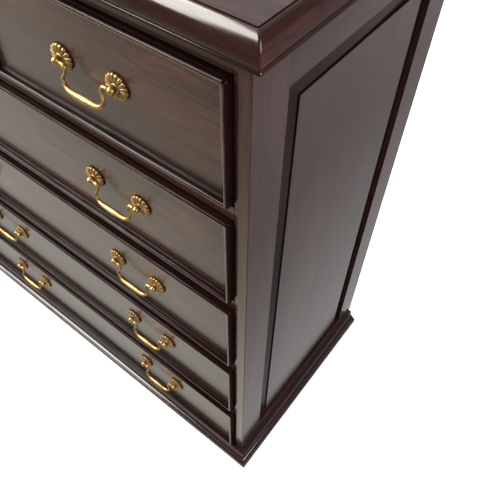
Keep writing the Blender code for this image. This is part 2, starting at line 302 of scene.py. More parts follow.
# %% Lamps
lamps = {
    "window_lamp": ((-1.50, -1.36, 2.72), (0.40, -1.23, 2.20), (3.5, 2.5), 500.0, (1.0, 0.985, 0.90)),
    "side_lamp": ((2.60, -0.30, 2.10), (0.50, 0.0, 0.7), (1.8, 1.4), 100.0, (1.0, 1.0, 1.0)),
}
for name, (place, aim, size, power, colour) in lamps.items():
    data = bpy.data.lights.new(name, "AREA")
    data.shape = "RECTANGLE"
    data.size, data.size_y = size
    data.energy, data.color = power, colour
    lamp = add_object(name, data)
    lamp.location = place
    lamp.rotation_euler = (Vector(aim) - lamp.location).to_track_quat("-Z", "Y").to_euler()
print("lamps:", ", ".join(lamps))

# %% [markdown]
# The case and the fronts are dark mahogany under a clear lacquer. A picture of wood could be laid on;
# noise drawn out along each board needs none and never repeats: broad bands, fine streaks and short
# dark pores. The lacquer is a coat over it, a little uneven. Each board carries three attributes: its
# own grain direction, so that rails run across and stiles run up; where an arris is rubbed paler; and
# where it is darkened, in hollows that are never polished bright: dark stain and painted shade there.

# %% Wood figure
grain_attribute = "grain"
wear_attribute = "worn"
stain_attribute = "stain"
broad_scale = (1.6, 13.0, 13.0)
cloud_scale = (4.0, 9.0, 9.0)
streak_scale = (5.0, 290.0, 290.0)
pore_scale = (60.0, 1300.0, 1300.0)
pore_span = (0.60, 0.72)
wobble_scale = (9.0, 9.0, 9.0)
wobble_reach = (0.0, 0.02, 0.02)
rub_scale = (30.0, 30.0, 30.0)
rub_span = (0.42, 0.66)


def wood_figure(graph, place):
    """The board's broad bands, streaks and pores, each from 0 to 1."""
    bend = graph.noise(place, wobble_scale, 1.0)
    bent = graph.node("ShaderNodeVectorMath", {"operation": "MULTIPLY_ADD"},
                      {0: bend.output("Color"), 1: wobble_reach, 2: place})
    broad = graph.noise(bent, broad_scale, 3.0, 0.55)
    streaks = graph.noise(bent, streak_scale, 4.0, 0.6)
    pores = graph.ramp(graph.noise(bent, pore_scale, 1.0), *pore_span)
    return broad, streaks, pores


print("streaks are about", round(1000 / streak_scale[1]), "mm apart")

# %% Mahogany
deep_wood = (0.010, 0.0040, 0.0036, 1.0)
warm_wood = (0.028, 0.0100, 0.0086, 1.0)
red_wood = (0.105, 0.027, 0.021, 1.0)
pore_colour = (0.006, 0.003, 0.003, 1.0)
rubbed_wood = (0.050, 0.020, 0.015, 1.0)
# The near-black colour that stain and painted shade give to hollows, steps and recesses.
stain_colour = (0.0040, 0.0015, 0.0013, 1.0)
tone_span, flare_span, flare_streaks = (0.34, 0.66), (0.50, 0.74), (0.38, 0.62)
pore_depth, stain_depth, rub_depth = 0.6, 0.92, 0.55
smear_scale, ripple_scale = (11.0, 26.0, 26.0), (26.0, 60.0, 60.0)
dull_from, dull_loss, dull_streaks = (0.75, 1.0), 0.88, (0.60, 0.35)
rub_loss, streak_loss, pore_loss, least_coat = 0.12, 0.07, 0.12, 0.05


def mahogany(name, place_of, gloss, haze, redness):
    """Lacquered mahogany: the board's place, the coat's weight and roughness, and how red it flares."""
    material, graph = new_material(name)
    place = place_of(graph)
    broad, streaks, pores = wood_figure(graph, place)
    tone = graph.ramp(broad * 0.62 + streaks * 0.38, *tone_span)
    colour = graph.mix_colour(tone, deep_wood, warm_wood)
    cloud = graph.ramp(graph.noise(place, cloud_scale, 2.0), *flare_span)
    flare = cloud * graph.ramp(streaks, *flare_streaks)
    colour = graph.mix_colour(flare * redness, colour, red_wood)
    colour = graph.mix_colour(pores * pore_depth, colour, pore_colour)
    # Painted shade: the stain attribute marks hollows, steps and recesses, which go near black, for dark
    # stain and for the shade that falls there.
    stain = graph.attribute(stain_attribute)
    colour = graph.mix_colour(stain * stain_depth, colour, stain_colour)
    rubbed = graph.ramp(graph.noise(place, rub_scale, 3.0), *rub_span)
    worn = graph.attribute(wear_attribute) * rubbed
    colour = graph.mix_colour(worn * rub_depth, colour, rubbed_wood)
    roughness = 0.40 + graph.noise(place, smear_scale, 2.0) * 0.16 + worn * 0.12
    ripple = graph.noise(place, ripple_scale, 1.0) + pores * -0.12 + streaks * 0.05
    lost = graph.ramp(stain, *dull_from) * dull_loss + worn * rub_loss
    lost = lost + graph.ramp(streaks, *dull_streaks) * streak_loss + pores * pore_loss
    graph.surface({
        "Base Color": colour, "Roughness": roughness, "Normal": graph.bump(0.10, 0.0012, ripple),
        "Specular IOR Level": 0.0, "Coat Weight": graph.maths("MAXIMUM", gloss - lost, least_coat),
        "Coat Roughness": haze, "Coat IOR": 1.5})
    return material


def grain_place(graph):
    return graph.attribute(grain_attribute, "Vector")


case_mahogany = mahogany("case_mahogany", grain_place, gloss=0.95, haze=0.15, redness=0.14)
top_mahogany = mahogany("top_mahogany", grain_place, gloss=0.80, haze=0.20, redness=1.6)
edge_mahogany = mahogany("edge_mahogany", grain_place, gloss=0.55, haze=0.15, redness=1.8)
front_mahogany = mahogany("front_mahogany", grain_place, gloss=1.0, haze=0.27, redness=0.45)
bead_mahogany = mahogany("bead_mahogany", grain_place, gloss=1.0, haze=0.09, redness=0.20)
frame_mahogany = mahogany("frame_mahogany", Graph.object_place, gloss=0.95, haze=0.15, redness=0.10)
print("mahogany nodes:", len(case_mahogany.node_tree.nodes))

# %% [markdown]
# Inside, the drawer boxes and the back are a plain pale wood with a thin sealed finish. Nothing of it
# shows in the photograph, so it is an ordinary lining wood: straight grain, faint streaks, no coat.

# %% Lining wood
lining_pale = (0.46, 0.29, 0.155, 1.0)
lining_dark = (0.30, 0.165, 0.080, 1.0)
end_pale = (0.27, 0.150, 0.075, 1.0)
end_dark = (0.17, 0.088, 0.042, 1.0)


def lining(name, place_of, pale, dark):
    """Sealed lining wood between a pale and a dark tone."""
    material, graph = new_material(name)
    place = place_of(graph)
    broad, streaks, pores = wood_figure(graph, place)
    tone = graph.ramp(broad * 0.5 + streaks * 0.5, 0.32, 0.68)
    colour = graph.mix_colour(tone, dark, pale)
    colour = graph.mix_colour(pores * 0.35, colour, dark)
    roughness = 0.52 + streaks * 0.14
    bump = graph.bump(0.25, 0.0006, streaks - pores * 0.5)
    graph.surface({
        "Base Color": colour, "Roughness": roughness, "Normal": bump, "Specular IOR Level": 0.4})
    return material


lining_wood = lining("lining_wood", grain_place, lining_pale, lining_dark)
lining_back = lining("lining_back", Graph.object_place, lining_pale, lining_dark)
lining_end = lining("lining_end_grain", Graph.object_place, end_pale, end_dark)
print("lining materials:", lining_wood.name, lining_back.name, lining_end.name)

# %% [markdown]
# The handles are aged cast brass: bright on the crests that fingers polish, and brown in the hollows,
# where the dark finish was left; the darkening there is also painted shade. The shape tells where the
# hollows are, so the mesh carries them as an attribute, and the material darkens and dulls them there.

# %% Antique brass
hollow_attribute = "hollow"
bright_brass = (0.41, 0.255, 0.090, 1.0)
aged_brass = (0.20, 0.108, 0.040, 1.0)
dark_brass = (0.040, 0.019, 0.008, 1.0)
patch_scale, age_span = (90.0, 90.0, 90.0), (0.36, 0.66)
speck_scale = (700.0, 700.0, 700.0)

brass, graph = new_material("antique_brass")
place = graph.object_place()
hollow = graph.attribute(hollow_attribute)
patches = graph.noise(place, patch_scale, 3.0, 0.6)
specks = graph.noise(place, speck_scale, 2.0)
age = graph.ramp(patches, *age_span) * 0.75
colour = graph.mix_colour(age, bright_brass, aged_brass)
# Patina and painted shade: the hollows go dark brown, less metallic and rougher.
patina_and_shade = graph.maths("MINIMUM", hollow * 1.35 * (0.75 + patches * 0.5), 1.0)
colour = graph.mix_colour(patina_and_shade, colour, dark_brass)
roughness = 0.35 + specks * 0.04 + age * 0.12 + patina_and_shade * 0.25
bump = graph.bump(0.10, 0.0004, specks * 0.4 + patches)
graph.surface({
    "Base Color": colour, "Metallic": 1.0 - patina_and_shade * 0.45, "Roughness": roughness, "Normal": bump})
print("brass nodes:", len(brass.node_tree.nodes))

# %% [markdown]
# Joinery is boards, and a board is a section skinned between rings of points. A piece below collects
# one or more such closed boards. Each gets its own grain coordinates, moved by a set step from board
# to board so that no two show the same figure. A band of faces runs from ring to ring, a strip along
# all rings; both can be marked as worn, and a rule gives each face its stain and painted shade.

# %% Sections and boards
origin, rightward, backward, upward = (0, 0, 0), (1, 0, 0), (0, 1, 0), (0, 0, 1)
grain_step = Vector((1.37, 0.41, 0.77))
grain_seeds = 97
axis_order = {"x": (0, 1, 2), "y": (1, 2, 0), "z": (2, 0, 1)}
smooth_angle = math.radians(38)


def arc(centre, radius_u, radius_v, start, end, steps):
    """Points on an ellipse's arc, angles in degrees."""
    points = []
    for i in range(steps + 1):
        angle = math.radians(start + (end - start) * i / steps)
        points.append((centre[0] + radius_u * math.cos(angle), centre[1] + radius_v * math.sin(angle)))
    return points


def eased(corners, steps=3):
    """Round the square corners of a section given as (u, v, radius); returns points and worn strips."""
    points, worn = [], set()
    for i, (u, v, radius) in enumerate(corners):
        here = Vector((u, v))
        if not radius:
            points.append(here)
            continue
        before = (Vector(corners[i - 1][:2]) - here).normalized() * radius
        after = (Vector(corners[(i + 1) % len(corners)][:2]) - here).normalized() * radius
        for k in range(steps + 1):
            angle = math.pi / 2 * k / steps
            points.append(here + before + after - after * math.cos(angle) - before * math.sin(angle))
            if k < steps:
                worn.add(len(points) - 1)
    return points, worn


def face_outward(mesh):
    """Turn all faces outward; returns how many edges are open."""
    bm = bmesh.new()
    bm.from_mesh(mesh)
    bmesh.ops.recalc_face_normals(bm, faces=bm.faces)
    open_edges = sum(edge.is_boundary for edge in bm.edges)
    bm.to_mesh(mesh)
    bm.free()
    return open_edges


def store(mesh, name, values, domain):
    mesh.attributes.new(name, "FLOAT", domain).data.foreach_set("value", values)


class Boards:
    """Closed boards that together make one piece."""

    def __init__(self, name):
        self.name = name
        self.points, self.faces, self.worn, self.stain, self.grain = [], [], [], [], []
        self.count = 0

    def skin(self, rings, along, worn_strips=(), worn_bands=(), stain_at=None):
        """Skin rings of points in order, close the ends; the rule by band and strip sets stain and
        painted shade.
        """
        first, size = len(self.points), len(rings[0])
        order = axis_order[along]
        shift = grain_step * (sum(map(ord, self.name)) % grain_seeds + self.count)
        for ring in rings:
            for point in ring:
                self.points.append(tuple(point))
                self.grain.append([point[k] + shift[i] for i, k in enumerate(order)])
        for band in range(len(rings) - 1):
            near = first + band * size
            far = near + size
            for i in range(size):
                j = (i + 1) % size
                self.faces.append((near + i, near + j, far + j, far + i))
                self.worn.append(float(i in worn_strips or band in worn_bands))
                self.stain.append(stain_at(band, i) if stain_at else 0.0)
        last = first + (len(rings) - 1) * size
        self.faces += [tuple(range(first, first + size)), tuple(range(last, last + size))]
        self.worn += [0.0, 0.0]
        self.stain += [0.0, 0.0]
        self.count += 1

    def run(self, section, origin, u_axis, v_axis, run_axis, span, along, worn=()):
        """A straight board: a section of (u, v) points carried over a span."""
        u_axis, v_axis, run_axis = Vector(u_axis), Vector(v_axis), Vector(run_axis)
        rings = []
        for distance in span:
            start = Vector(origin) + run_axis * distance
            rings.append([start + u_axis * u + v_axis * v for u, v in section])
        self.skin(rings, along, worn_strips=worn)

    def finish(self, material, node, body="case"):
        """Make the piece's mesh, and let it ride and stand for its CAD node."""
        mesh = new_mesh(self.name, self.points, self.faces)
        face_outward(mesh)
        grain = mesh.attributes.new(grain_attribute, "FLOAT_VECTOR", "POINT")
        grain.data.foreach_set("vector", [value for row in self.grain for value in row])
        store(mesh, wear_attribute, self.worn, "FACE")
        store(mesh, stain_attribute, self.stain, "FACE")
        mesh.shade_smooth()
        mesh.set_sharp_from_angle(angle=smooth_angle)
        piece = add_piece(self.name, mesh, material, body, [node])
        level = piece.modifiers.new("even_shading", "WEIGHTED_NORMAL")
        level.keep_sharp = True
        return piece


def add_piece(name, mesh, material, body, nodes):
    """Link a finished mesh, at the origin as every CAD node is, and tie it to the frame."""
    mesh.materials.clear()
    mesh.materials.append(material)
    piece = add_object(name, mesh)
    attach(piece, body)
    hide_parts(*nodes)
    return piece


print("the grain moves on by", tuple(grain_step), "from board to board")

# %% [markdown]
# Each side of the case is a frame of two stiles and two rails, grooved inside for a panel. The real
# frame could be one slab with a hole; four boards are better, because the grain turns at each joint
# and every arris is eased.

# %% Side frames
side_thickness = 0.023
side_stile = 0.068
side_top_rail = 0.080
side_bottom_rail = 0.081
margin_recess = 0.010
tongue_thickness = 0.0055
tongue_length = 0.010
seat_gap = 0.0003
corner_ease = 0.0016
arris_ease = 0.0007
window_ease = 0.0003


def grooved(near, window, outer_ease, inner_ease):
    """Section of a frame board from its outer edge to the window, as (depth, place) corners."""
    groove_end = window - math.copysign(tongue_length, window - near)
    deep = margin_recess + tongue_thickness + 2 * seat_gap
    return [(0, near, outer_ease), (0, window, inner_ease), (margin_recess, window, 0),
            (margin_recess, groove_end, 0), (deep, groove_end, 0), (deep, window, 0),
            (side_thickness, window, arris_ease), (side_thickness, near, arris_ease)]


for label, side in (("left", -1), ("right", 1)):
    node = label + "_side_frame"
    low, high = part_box(node)
    face = high.x if side > 0 else low.x
    front_window, rear_window = low.y + side_stile, high.y - side_stile
    low_window, high_window = low.z + side_bottom_rail, high.z - side_top_rail
    boards = Boards(label + "_side_boards")
    start, inward = (face, 0, 0), (-side, 0, 0)
    for near, window, ease in ((low.y, front_window, corner_ease), (high.y, rear_window, arris_ease)):
        section, _ = eased(grooved(near, window, ease, window_ease))
        boards.run(section, start, inward, backward, upward, (low.z, high.z), "z")
    for near, window in ((low.z, low_window), (high.z, high_window)):
        section, worn = eased(grooved(near, window, 0, arris_ease))
        boards.run(section, start, inward, upward, backward, (front_window, rear_window), "y", worn)
    piece = boards.finish(case_mahogany, node)
    print(piece.name, "boards:", boards.count, "faces:", len(piece.data.polygons))

# %% [markdown]
# The panel is raised and fielded: a flat field just below the frame's face, a small square step round
# it, then a wide margin that slopes down into the groove. It is one board, skinned from the field out
# to the tongue, with the field's edge rounded a little so that it catches a thin line of light. The
# margin is painted darker than the field, as stain and as painted shade, most of all in the step and
# at the rear.

# %% Side panels
field_recess = 0.003
field_step = 0.0025
margin_width = 0.030
margin_sag = 0.0006
field_ease = 0.0008
field_bands = (0, 1, 2)
# How dark the margin's stain and painted shade are, by side: foot, rear, top, front.
margin_stain_and_shade_by_side = (0.86, 0.95, 0.87, 0.90)


def side_ring(side, depth, inset, window):
    """A rectangle inset from the window and sunk a depth from the side's face."""
    face, y_low, y_high, z_low, z_high = window
    x = face - side * depth
    y_low, y_high, z_low, z_high = y_low + inset, y_high - inset, z_low + inset, z_high - inset
    return [(x, y_low, z_low), (x, y_high, z_low), (x, y_high, z_high), (x, y_low, z_high)]


def margin_stain(band, strip):
    """Stain and painted shade: none on the field's edge, full in the step, then a tone by side: foot,
    rear, top, front.
    """
    if band in field_bands:
        return 0.0
    return 1.0 if band == len(field_bands) else margin_stain_and_shade_by_side[strip]


near = margin_recess + seat_gap
foot = field_recess + field_step
rounding = arc((-field_ease, 0), field_ease, field_ease, 90, 0, 3)
steps = [(field_recess + field_ease - dv, margin_width - du) for du, dv in rounding]
steps.append((foot, margin_width))
for share in (0.25, 0.5, 0.75):
    sag = margin_sag * math.sin(math.pi * share)
    steps.append((foot + (near - foot) * share + sag, margin_width * (1 - share) + seat_gap))
tongue = seat_gap - tongue_length
steps += [(near, seat_gap), (near, tongue), (near + tongue_thickness, tongue)]
for label, side in (("left", -1), ("right", 1)):
    low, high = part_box(label + "_side_frame")
    window = (high.x if side > 0 else low.x, low.y + side_stile, high.y - side_stile,
              low.z + side_bottom_rail, high.z - side_top_rail)
    boards = Boards(label + "_side_field")
    rings = [side_ring(side, depth, inset, window) for depth, inset in steps]
    boards.skin(rings, "z", worn_bands=field_bands, stain_at=margin_stain)
    piece = boards.finish(case_mahogany, label + "_side_panel")
    print(piece.name, "bands:", len(steps) - 1)

# %% [markdown]
# Two mouldings run round the front and both sides, one at the edge of the top and one at the floor.
# Each length is a section carried from corner to corner. At a mitre the section turns on a small
# radius up to the joint, because a polished corner is never knife sharp and shows a bright thread.
# Stain and painted shade change across the section, so each strip has its own.

# %% Moulding lengths
mitre_ease = 0.0022
mitre_turns = (0, 15, 30, 45)


def mitred_ring(section, corner, turn, side):
    """The section swung round an eased corner; turn goes from 0 along the front to 90 along the side."""
    angle = math.radians(turn)
    ring = []
    for u, v in section:
        radius = min(mitre_ease, max(u, 0))
        x = corner.x + side * (u - radius + radius * math.sin(angle))
        y = corner.y - (u - radius) - radius * math.cos(angle)
        ring.append((x, y, corner.z + v))
    return ring


def moulding(stem, section, overhang, front_stain, side_stain, side_wood):
    """The front length and both side lengths; each strip of the section has its stain and painted shade.
    """
    low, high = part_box(stem + "_right")
    x, y = high.x - overhang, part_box(stem + "_front")[0].y + overhang
    left, right = Vector((-x, y, low.z)), Vector((x, y, low.z))
    front = Boards(stem + "_front_length")
    rings = [mitred_ring(section, left, turn, -1) for turn in reversed(mitre_turns)]
    rings += [mitred_ring(section, right, turn, 1) for turn in mitre_turns]
    front.skin(rings, "x", stain_at=lambda band, strip: front_stain[strip])
    front.finish(case_mahogany, stem + "_front")
    for label, side, start in (("left", -1, left), ("right", 1, right)):
        length = Boards(stem + "_" + label + "_length")
        rings = [mitred_ring(section, start, 90 - turn, side) for turn in reversed(mitre_turns)]
        rings.append([(start.x + side * u, high.y, start.z + v) for u, v in section])
        length.skin(rings, "y", stain_at=lambda band, strip: side_stain[strip])
        length.finish(side_wood, stem + "_" + label)
    print(stem, "section points:", len(section))


print("a mitre turns in", len(mitre_turns) - 1, "steps")

# %% Edge of the top
edge_width = 0.016
edge_groove = 0.002
edge_foot = 0.002
edge_hollow = 0.0008
edge_fascia = 0.006
edge_round = 0.014
fascia_steps = 8
shaded_strips = 11

low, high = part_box("top_edge_front")
top_thickness = high.z - low.z
crown = edge_width - edge_round
rise = top_thickness - edge_fascia
section = [(0, 0), (edge_width, 0), (edge_width, edge_foot)]
for k in range(1, fascia_steps):
    share = k / fascia_steps
    hollow = edge_hollow * math.sin(math.pi * share)
    section.append((edge_width - hollow, edge_foot + (edge_fascia - edge_foot) * share))
section.append((edge_width, edge_fascia))
fascia_strips = len(section)
section += arc((crown, edge_fascia), edge_round - edge_hollow, rise, 0, 90, 16)
section += [(edge_groove, top_thickness), (edge_groove, top_thickness - edge_groove)]
section.append((0, top_thickness - edge_groove))
upper_strips = len(section) - fascia_strips - shaded_strips
# Stain and painted shade, strip by strip: darkest on the front's fascia, then the ovolo; on the sides
# the ovolo has none.
front_stain = [0.86] * fascia_strips + [0.60] * shaded_strips + [0.45] * upper_strips
side_stain = [0.55] * fascia_strips + [0.0] * shaded_strips + [0.55] * upper_strips
moulding("top_edge", section, edge_width, front_stain, side_stain, edge_mahogany)

# %% Base moulding
base_overhang = 0.024
base_round_height = 0.022
base_round_bulge = 0.003
base_quirk = 0.0025
base_fillet = 0.0035
base_cove = 0.0115
base_cap = 0.0045
base_stain = 0.45

low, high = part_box("base_moulding_front")
base_height = high.z - low.z
nose = base_overhang - base_round_bulge
fillet = nose - base_quirk
fillet_top = base_round_height + base_fillet
cap_low = base_height - base_cap
section = [(0, 0), (nose, 0)]
section += arc((nose, base_round_height / 2), base_round_bulge, base_round_height / 2, -70, 90, 12)
section += [(fillet, base_round_height), (fillet, fillet_top)]
section += arc((fillet, cap_low), base_cove, cap_low - fillet_top, -90, -180, 8)
section += [(fillet - base_cove, base_height), (0, base_height)]
# The whole base moulding is darkened evenly: stain and painted shade.
tones = [base_stain] * len(section)
moulding("base_moulding", section, base_overhang, tones, tones, case_mahogany)

# %% [markdown]
# The top is one wide panel that lies inside the edge moulding, level with it. Between them runs the
# little groove that the photograph shows as a dark line. Its upper arrises are eased.

# %% Top panel
def upright_section(near, far, low, high, ease):
    """A board's section between two places, with its upper arrises eased."""
    return eased([(near, low.z, 0), (near, high.z, ease), (far, high.z, ease), (far, low.z, 0)])


low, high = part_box("top_panel")
section, worn = upright_section(low.x, high.x, low, high, arris_ease)
boards = Boards("top_panel_board")
boards.run(section, origin, rightward, upward, backward, (low.y + arris_ease, high.y), "x", worn)
piece = boards.finish(top_mahogany, "top_panel")
print(piece.name, "is", round((high.x - low.x) * 1000), "by", round((high.y - low.y) * 1000), "mm")

# %% [markdown]
# The frames between the rows, the divider and the back are square-edged boards that the drawers hide,
# so the CAD solids stay and only get their finish. Object coordinates run along the rails.

# %% Frames and back
dressed = {name: frame_mahogany for name in frame["nodes"] if "side" not in name
           and (name.endswith("_frame") or name.startswith("rail_frame"))}
dressed["back_panel"] = lining_back
for name, material in dressed.items():
    materials = frame["nodes"][name].data.materials
    materials.clear()
    materials.append(material)
print("carried over:", len(dressed))

# %% [markdown]
# A drawer front is cut from one board: a flat field, a sloping hollow round it, a quirk, and a rounded
# bead that stands proudest. It could be a plain board with loose beads; one skin of rings is closer to
# the real thing, where the bead and the field share one grain. The outer corners are rounded. Stain and
# painted shade darken the hollows beside the bead and the bead's sides, so that its light is a thin
# line, and the bead has a sharper polish, so it has its own material.

# %% Drawer fronts
front_thickness = 0.020
front_corner = 0.006
field_stand = 0.0005
bead_width = 0.009
bead_side = 0.0065
bead_stand = 0.012
quirk_width = 0.0015
quirk_stand = 0.0070
slope_width = 0.0080
sharp_corner = 0.0004
back_ease = 0.0004
corner_steps = 5


def rounded_ring(half_x, half_z, inset, centre, y):
    """A rectangle with rounded corners, drawn in by an inset and standing at y."""
    x, z = half_x - inset, half_z - inset
    radius = max(front_corner - inset, sharp_corner)
    ring = []
    for start, sx, sz in ((0, 1, 1), (90, -1, 1), (180, -1, -1), (270, 1, -1)):
        middle = (centre.x + sx * (x - radius), centre.z + sz * (z - radius))
        ring += [(u, y, v) for u, v in arc(middle, radius, radius, start, start + 90, corner_steps)]
    return ring


# How far in and how far forward each ring of a drawer front stands.
slope_end = bead_width + quirk_width + slope_width
slope_fall = quirk_stand - field_stand
front_rings = [(back_ease, -front_thickness), (0, -front_thickness + back_ease), (0, bead_side)]
front_rings += arc((bead_width / 2, bead_side), bead_width / 2, bead_stand - bead_side, 168, 12, 12)
front_rings += [(bead_width, quirk_stand), (bead_width + quirk_width, quirk_stand)]
front_rings += arc((slope_end, quirk_stand), slope_width, slope_fall, 186, 270, 8)
print("bands over a front:", len(front_rings) - 1)

# %% Six fronts
bead_bands = range(2, 17)
rubbed_bands = range(7, 11)
# Stain and painted shade per band: full on the bead's flanks and in the hollow, light only on the bead's
# crest and towards the field.
bead_stain = [1.0] * 6 + [0.97, 0.88] + [0.3] * 3 + [0.87, 0.95] + [1.0] * 3
slope_stain = [1.0] * 6 + [0.95, 0.85, 0.60, 0.30]
front_stain = bead_stain + slope_stain
front_names = [name for name in frame["nodes"] if name.startswith("drawer_") and name.endswith("_front")]
for node in sorted(front_names):
    low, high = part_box(node)
    drawer = node.removesuffix("_front")
    centre = (low + high) / 2
    half_x, half_z = (high.x - low.x) / 2, (high.z - low.z) / 2
    face = high.y - front_thickness
    boards = Boards(drawer + "_moulded_front")
    rings = [rounded_ring(half_x, half_z, inset, centre, face - stand) for inset, stand in front_rings]
    boards.skin(rings, "x", worn_bands=rubbed_bands, stain_at=lambda band, strip: front_stain[band])
    piece = boards.finish(front_mahogany, node, drawer)
    piece.data.materials.append(bead_mahogany)
    for polygon in piece.data.polygons:
        polygon.material_index = int(polygon.index // len(rings[0]) in bead_bands)
    print(piece.name, round(half_x * 2000), "by", round(half_z * 2000), "mm")

# %% [markdown]
# Behind each front is an open box: two sides, a back and an inner front between them, and a bottom
# panel. In the CAD it is one hollow solid. Here it is boards again, with eased upper arrises.

# %% Drawer boxes
box_wall = 0.012
box_bottom = 0.008
bottom_board = 0.0055
box_ease = 0.0025
box_names = sorted(name for name in frame["nodes"] if name.endswith("_box"))

for node in box_names:
    low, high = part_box(node)
    drawer = node.removesuffix("_box")
    boards = Boards(drawer + "_box_boards")
    for near, far in ((low.x, low.x + box_wall), (high.x, high.x - box_wall)):
        section, worn = upright_section(near, far, low, high, box_ease)
        boards.run(section, origin, rightward, upward, backward, (low.y, high.y), "y", worn)
    span = (low.x + box_wall, high.x - box_wall)
    for near, far in ((low.y, low.y + box_wall), (high.y, high.y - box_wall)):
        section, worn = upright_section(near, far, low, high, box_ease)
        boards.run(section, origin, backward, upward, rightward, span, "x", worn)
    floor_low, floor_high = low.z + box_bottom - bottom_board, low.z + box_bottom
    section = [(low.y + box_wall, floor_low), (low.y + box_wall, floor_high),
               (high.y - box_wall, floor_high), (high.y - box_wall, floor_low)]
    boards.run(section, origin, backward, upward, rightward, span, "x")
    piece = boards.finish(lining_wood, node, drawer)
    print(piece.name, "boards:", boards.count)

# %% [markdown]
# A box is held at its four corners by dovetails, and from the side one sees the darker end grain of
# the pins between the tails. They repeat at an even step up the corner, which is work for Geometry
# Nodes: one tapered pin is set on every point of a line, and the whole is realised as plain mesh.


# %% Geometry trees
def geometry_tree(name, sizes):
    """A tree with an input for each named size, its graph, and a way to an input's wire by name."""
    tree = bpy.data.node_groups.new(name, "GeometryNodeTree")
    tree.interface.new_socket("Geometry", in_out="INPUT", socket_type="NodeSocketGeometry")
    tree.interface.new_socket("Geometry", in_out="OUTPUT", socket_type="NodeSocketGeometry")
    for key, size in sizes.items():
        kind = "NodeSocketInt" if isinstance(size, int) else "NodeSocketFloat"
        tree.interface.new_socket(key, in_out="INPUT", socket_type=kind)
    graph = Graph(tree)
    return tree, graph, graph.node("NodeGroupInput").output


def close_tree(graph, geometry, material):
    """Every tree ends in realised instances with their material."""
    real = graph.node("GeometryNodeRealizeInstances", None, {"Geometry": geometry})
    painted = graph.node("GeometryNodeSetMaterial", None, {"Geometry": real, "Material": material})
    graph.node("NodeGroupOutput", None, {0: painted})


def grown_mesh(name, start, tree, sizes):
    """Run a tree on a start mesh and return the result as a plain mesh."""
    helper = add_object(name, start)
    modifier = helper.modifiers.new(name, "NODES")
    modifier.node_group = tree
    identifiers = {item.name: item.identifier for item in tree.interface.items_tree}
    for key, size in sizes.items():
        modifier[identifiers[key]] = size
    depsgraph = bpy.context.evaluated_depsgraph_get()
    mesh = bpy.data.meshes.new_from_object(
        helper.evaluated_get(depsgraph), preserve_all_data_layers=True, depsgraph=depsgraph)
    helper.modifiers.remove(modifier)
    bpy.data.objects.remove(helper)
    mesh.name = name
    return mesh


print("geometry trees can be built")

# %% Dovetails
pin_count = 4
pin_wide = 0.011
pin_narrow = 0.007
pin_proud = 0.00008
pin_sunk = 0.002

pin_sizes = {"Pins": pin_count, "Lowest": 0.0, "Step": 0.0, "Wide": pin_wide, "Narrow": pin_narrow,
             "Length": box_wall, "Depth": pin_sunk}
tree, graph, given = geometry_tree("dovetails", pin_sizes)
line = graph.node("GeometryNodeMeshLine", {"mode": "OFFSET"}, {
    "Count": given("Pins"), "Start Location": graph.xyz(z=given("Lowest")),
    "Offset": graph.xyz(z=given("Step"))})
size = graph.xyz(given("Depth"), given("Length"), given("Wide"))
pin = graph.node("GeometryNodeMeshCube", None, {"Size": size})
x, y, z = graph.parts(graph.node("GeometryNodeInputPosition"))
narrowing = 1.0 - (y / given("Length") + 0.5) * (1.0 - given("Narrow") / given("Wide"))
tapered = graph.xyz(x, y, z * narrowing)
pin = graph.node("GeometryNodeSetPosition", None, {"Geometry": pin, "Position": tapered})
pins = graph.node("GeometryNodeInstanceOnPoints", None, {"Points": line, "Instance": pin})
close_tree(graph, pins, lining_end)

for node in box_names:
    low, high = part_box(node)
    drawer = node.removesuffix("_box")
    step = (high.z - low.z) / pin_count
    pin_sizes |= {"Lowest": step / 2, "Step": step}
    column = grown_mesh("pins", bpy.data.meshes.new("pins"), tree, pin_sizes)
    bm = bmesh.new()
    for side_x, side in ((low.x, -1), (high.x, 1)):
        for end_y, turn in ((low.y + box_wall / 2, 0), (high.y - box_wall / 2, math.pi)):
            x = side_x + side * (pin_proud - pin_sunk / 2)
            placed = column.copy()
            placed.transform(Matrix.Translation((x, end_y, low.z)) @ Matrix.Rotation(turn, 4, "Z"))
            bm.from_mesh(placed)
            bpy.data.meshes.remove(placed)
    mesh = bpy.data.meshes.new(drawer + "_dovetails")
    bm.to_mesh(mesh)
    bm.free()
    piece = add_piece(drawer + "_dovetails", mesh, lining_end, drawer, [])
    print(piece.name, "pins:", pin_count * 4)

# %% [markdown]
# A rosette is a cast disc of sixteen fluted petals round a small boss, with a ball-headed post in the
# middle that holds the bail. Its outline is turned, and its petals repeat by a rule, so a tree turns
# an outline round the axis and lets every petal swell between two grooves. The outline is given as a
# line of points with two attributes: how strongly the petals show there, and how dark it is, which is
# patina and painted shade.

# %% Rosette outline
rim = 0.0195
petal_start = rim - 0.0024
notch_share = 0.075
groove_share = 0.32
boss_radius = 0.0080
petal_count = 16
petal_steps = 6
post_radius = 0.0036
ball_radius = 0.0059
ball_centre = 0.0115
ball_steps = 14
pin_depth = 0.0036
bore_radius = 0.0027
bore_end_gap = 0.0008
merge_distance = 0.000002
cast_smooth = math.radians(48)

